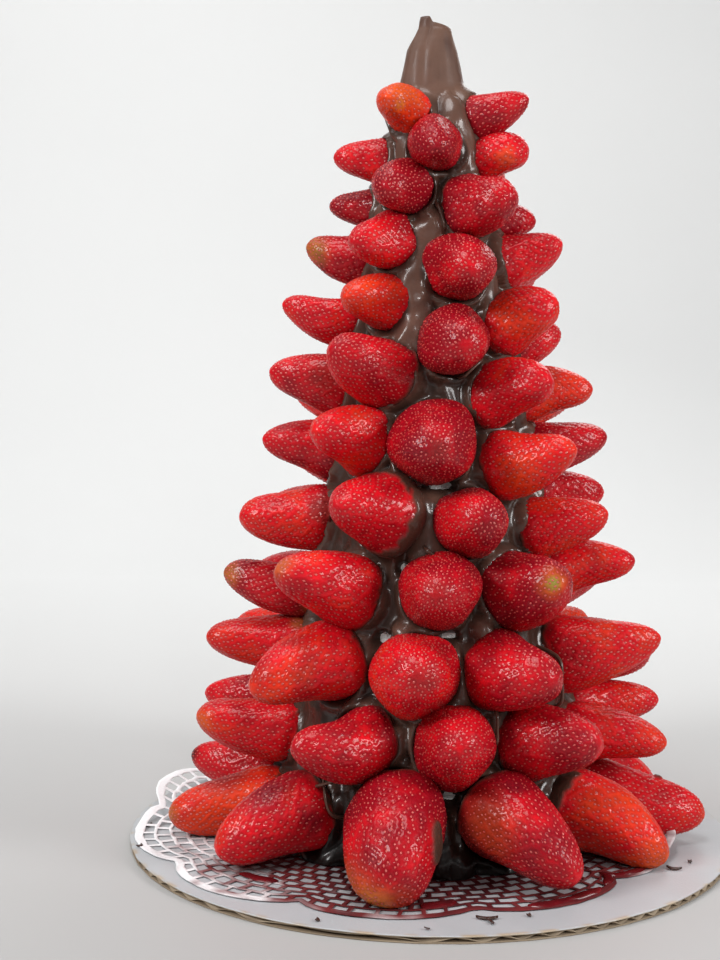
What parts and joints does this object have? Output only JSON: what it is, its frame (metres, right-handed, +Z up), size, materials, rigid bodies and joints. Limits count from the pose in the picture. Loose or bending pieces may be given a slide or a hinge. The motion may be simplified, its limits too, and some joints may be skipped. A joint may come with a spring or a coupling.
{
  "type": "chocolate strawberry tree",
  "caption": "Cone-shaped dessert tree of hulled strawberries set in a thick chocolate coat round a white foam cone, on a lace paper doily and a round card cake board.",
  "frame": {"origin": "centre of the board's underside", "axes": "+Z up along the tree, -Y towards the camera side, +X to the right in the picture"},
  "size_m": [0.254, 0.254, 0.3431],
  "materials": {
    "strawberry": "juicy satin red with pale seeds in dimples",
    "chocolate": "set milk chocolate, satin gloss",
    "foam": "white craft foam",
    "paper": "white lace paper, stained red with juice",
    "card": "white coated top on brown corrugated card"
  },
  "bodies": {
    "root": {"board": "card", "doily": "paper", "core": "foam", "chocolate_coat": "chocolate", "berry_01a": "strawberry", "berry_01b": "strawberry", "berry_01c": "strawberry", "berry_01d": "strawberry", "berry_01e": "strawberry", "berry_01f": "strawberry", "berry_01g": "strawberry", "berry_02a": "strawberry", "berry_02b": "strawberry", "berry_02c": "strawberry", "berry_02d": "strawberry", "berry_02e": "strawberry", "berry_02f": "strawberry", "berry_02g": "strawberry", "berry_03a": "strawberry", "berry_03b": "strawberry", "berry_03c": "strawberry", "berry_03d": "strawberry", "berry_03e": "strawberry", "berry_04a": "strawberry", "berry_04b": "strawberry", "berry_04c": "strawberry", "berry_04d": "strawberry", "berry_04e": "strawberry", "berry_05a": "strawberry", "berry_05b": "strawberry", "berry_05c": "strawberry", "berry_05d": "strawberry", "berry_05e": "strawberry", "berry_06a": "strawberry", "berry_06b": "strawberry", "berry_06c": "strawberry", "berry_06d": "strawberry", "berry_06e": "strawberry", "berry_07a": "strawberry", "berry_07b": "strawberry", "berry_07c": "strawberry", "berry_07d": "strawberry", "berry_08a": "strawberry", "berry_08b": "strawberry", "berry_08c": "strawberry", "berry_08d": "strawberry", "berry_08e": "strawberry", "berry_09a": "strawberry", "berry_09b": "strawberry", "berry_09c": "strawberry", "berry_09d": "strawberry", "berry_10a": "strawberry", "berry_10b": "strawberry", "berry_10c": "strawberry", "berry_10d": "strawberry", "berry_11a": "strawberry", "berry_11b": "strawberry", "berry_11c": "strawberry", "berry_12a": "strawberry", "berry_12b": "strawberry"}
  },
  "joints": []
}
